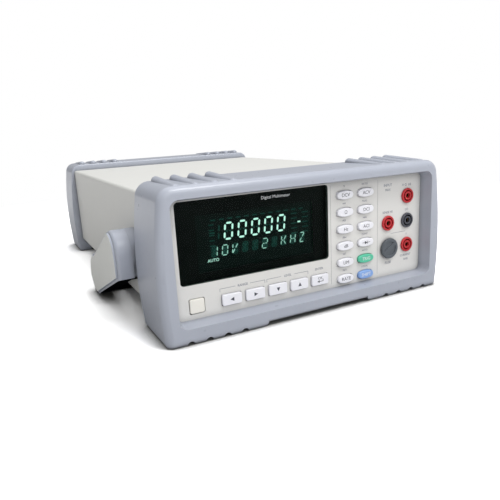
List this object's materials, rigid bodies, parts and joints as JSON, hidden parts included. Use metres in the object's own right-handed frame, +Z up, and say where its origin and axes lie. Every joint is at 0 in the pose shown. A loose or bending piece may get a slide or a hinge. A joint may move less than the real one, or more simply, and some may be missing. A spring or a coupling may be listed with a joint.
{
  "type": "bench multimeter",
  "caption": "Bench multimeter with sheet-steel case, moulded corner bumpers, dark display window, press keys, banana jacks and a folding carrying handle.",
  "frame": {"origin": "middle of the footprint on the resting plane, under the centre of the bounding box", "axes": "+Z up, +Y from the front panel towards the rear, +X to the right seen from the front"},
  "size_m": [0.256, 0.374, 0.1022],
  "materials": {
    "case_paint": "fine textured powder paint",
    "bumper": "satin moulded",
    "panel": "fine matt moulded",
    "window": "dark tinted gloss",
    "display_glass": "gloss",
    "circuit_board": "solder mask",
    "silicone": "matt",
    "zinc_steel": "zinc plated",
    "lamination": "varnished",
    "winding_tape": "taped",
    "tinplate": "bright",
    "relay_case": "gloss",
    "capacitor_sleeve": "gloss",
    "aluminium": "extruded",
    "ribbon": "satin",
    "wire": "satin",
    "jack_red": "satin",
    "jack_black": "satin",
    "brass": "bright",
    "fuse_plastic": "satin",
    "fuse_glass": "clear",
    "rear_paint": "matt",
    "connector_black": "satin",
    "nickel": "bright",
    "screw_steel": "zinc plated",
    "bail_black": "satin",
    "grip_rubber": "matt",
    "cover_grey": "satin",
    "key_white": "satin",
    "key_green": "satin",
    "key_blue": "satin",
    "button_beige": "satin",
    "rod_white": "satin"
  },
  "bodies": {
    "instrument": {"case_sleeve": "case_paint", "front_bumper": "bumper", "rear_bumper": "bumper", "front_panel": "panel", "display_window": "window", "vfd_display": "display_glass", "display_board": "circuit_board", "keypad_mat": "silicone", "chassis_tray": "zinc_steel", "main_board": "circuit_board", "transformer_core": "lamination", "transformer_winding": "winding_tape", "input_shield": "tinplate", "range_relays": "relay_case", "filter_capacitors": "capacitor_sleeve", "heat_sink": "aluminium", "display_ribbon": "ribbon", "jack_wires": "wire", "red_jack_shells": "jack_red", "black_jack_shell": "jack_black", "jack_contacts": "brass", "fuse_holder": "fuse_plastic", "rear_panel": "rear_paint", "mains_inlet": "connector_black", "serial_connector": "nickel", "trigger_connectors": "nickel", "mains_switch": "connector_black", "chassis_screws": "screw_steel", "handle_pivots": "zinc_steel", "pivot_screws": "screw_steel"},
    "handle": {"handle_bail": "bail_black", "handle_grip": "grip_rubber", "arm_left": "bumper", "arm_right": "bumper", "cover_left": "cover_grey", "cover_right": "cover_grey"},
    "power_plunger": {"power_button": "button_beige", "power_push_rod": "rod_white"},
    "fuse_slide": {"fuse_carrier": "fuse_plastic", "current_fuse": "fuse_glass"},
    "fuse_cap": {"fuse_knob": "fuse_plastic"},
    "fuse_drawer": {"mains_fuse_drawer": "connector_black", "mains_fuse": "fuse_glass"},
    "key_dc_voltage": {"key_dc_voltage": "key_white"},
    "key_resistance": {"key_resistance": "key_white"},
    "key_frequency": {"key_frequency": "key_white"},
    "key_decibel": {"key_decibel": "key_white"},
    "key_compare": {"key_compare": "key_white"},
    "key_rate": {"key_rate": "key_white"},
    "key_ac_voltage": {"key_ac_voltage": "key_white"},
    "key_dc_current": {"key_dc_current": "key_white"},
    "key_ac_current": {"key_ac_current": "key_white"},
    "key_diode": {"key_diode": "key_white"},
    "key_trigger": {"key_trigger": "key_green"},
    "key_shift": {"key_shift": "key_blue"},
    "key_left": {"key_left": "key_white"},
    "key_right": {"key_right": "key_white"},
    "key_down": {"key_down": "key_white"},
    "key_up": {"key_up": "key_white"},
    "key_enter": {"key_enter": "key_white"}
  },
  "joints": [
    {"name": "handle_swing", "type": "hinge", "parent": "instrument", "child": "handle", "pos_m": [0, -0.117, 0.0476], "axis": [-1, 0, 0], "range_deg": [0, 290]},
    {"name": "power_latch", "type": "slide", "parent": "instrument", "child": "power_plunger", "axis": [0, 1, 0], "range_m": [-0.003, 0.0005]},
    {"name": "fuse_pull", "type": "slide", "parent": "instrument", "child": "fuse_slide", "axis": [0, -1, 0], "range_m": [0, 0.03]},
    {"name": "fuse_turn", "type": "hinge", "parent": "fuse_slide", "child": "fuse_cap", "pos_m": [0.0699, -0.179, 0.0345], "axis": [0, -1, 0], "range_deg": [0, 60]},
    {"name": "drawer_pull", "type": "slide", "parent": "instrument", "child": "fuse_drawer", "axis": [0, 1, 0], "range_m": [0, 0.016]},
    {"name": "press_dc_voltage", "type": "slide", "parent": "instrument", "child": "key_dc_voltage", "axis": [0, 1, 0], "range_m": [0, 0.0012]},
    {"name": "press_resistance", "type": "slide", "parent": "instrument", "child": "key_resistance", "axis": [0, 1, 0], "range_m": [0, 0.0012]},
    {"name": "press_frequency", "type": "slide", "parent": "instrument", "child": "key_frequency", "axis": [0, 1, 0], "range_m": [0, 0.0012]},
    {"name": "press_decibel", "type": "slide", "parent": "instrument", "child": "key_decibel", "axis": [0, 1, 0], "range_m": [0, 0.0012]},
    {"name": "press_compare", "type": "slide", "parent": "instrument", "child": "key_compare", "axis": [0, 1, 0], "range_m": [0, 0.0012]},
    {"name": "press_rate", "type": "slide", "parent": "instrument", "child": "key_rate", "axis": [0, 1, 0], "range_m": [0, 0.0012]},
    {"name": "press_ac_voltage", "type": "slide", "parent": "instrument", "child": "key_ac_voltage", "axis": [0, 1, 0], "range_m": [0, 0.0012]},
    {"name": "press_dc_current", "type": "slide", "parent": "instrument", "child": "key_dc_current", "axis": [0, 1, 0], "range_m": [0, 0.0012]},
    {"name": "press_ac_current", "type": "slide", "parent": "instrument", "child": "key_ac_current", "axis": [0, 1, 0], "range_m": [0, 0.0012]},
    {"name": "press_diode", "type": "slide", "parent": "instrument", "child": "key_diode", "axis": [0, 1, 0], "range_m": [0, 0.0012]},
    {"name": "press_trigger", "type": "slide", "parent": "instrument", "child": "key_trigger", "axis": [0, 1, 0], "range_m": [0, 0.0012]},
    {"name": "press_shift", "type": "slide", "parent": "instrument", "child": "key_shift", "axis": [0, 1, 0], "range_m": [0, 0.0012]},
    {"name": "press_left", "type": "slide", "parent": "instrument", "child": "key_left", "axis": [0, 1, 0], "range_m": [0, 0.0012]},
    {"name": "press_right", "type": "slide", "parent": "instrument", "child": "key_right", "axis": [0, 1, 0], "range_m": [0, 0.0012]},
    {"name": "press_down", "type": "slide", "parent": "instrument", "child": "key_down", "axis": [0, 1, 0], "range_m": [0, 0.0012]},
    {"name": "press_up", "type": "slide", "parent": "instrument", "child": "key_up", "axis": [0, 1, 0], "range_m": [0, 0.0012]},
    {"name": "press_enter", "type": "slide", "parent": "instrument", "child": "key_enter", "axis": [0, 1, 0], "range_m": [0, 0.0012]}
  ]
}
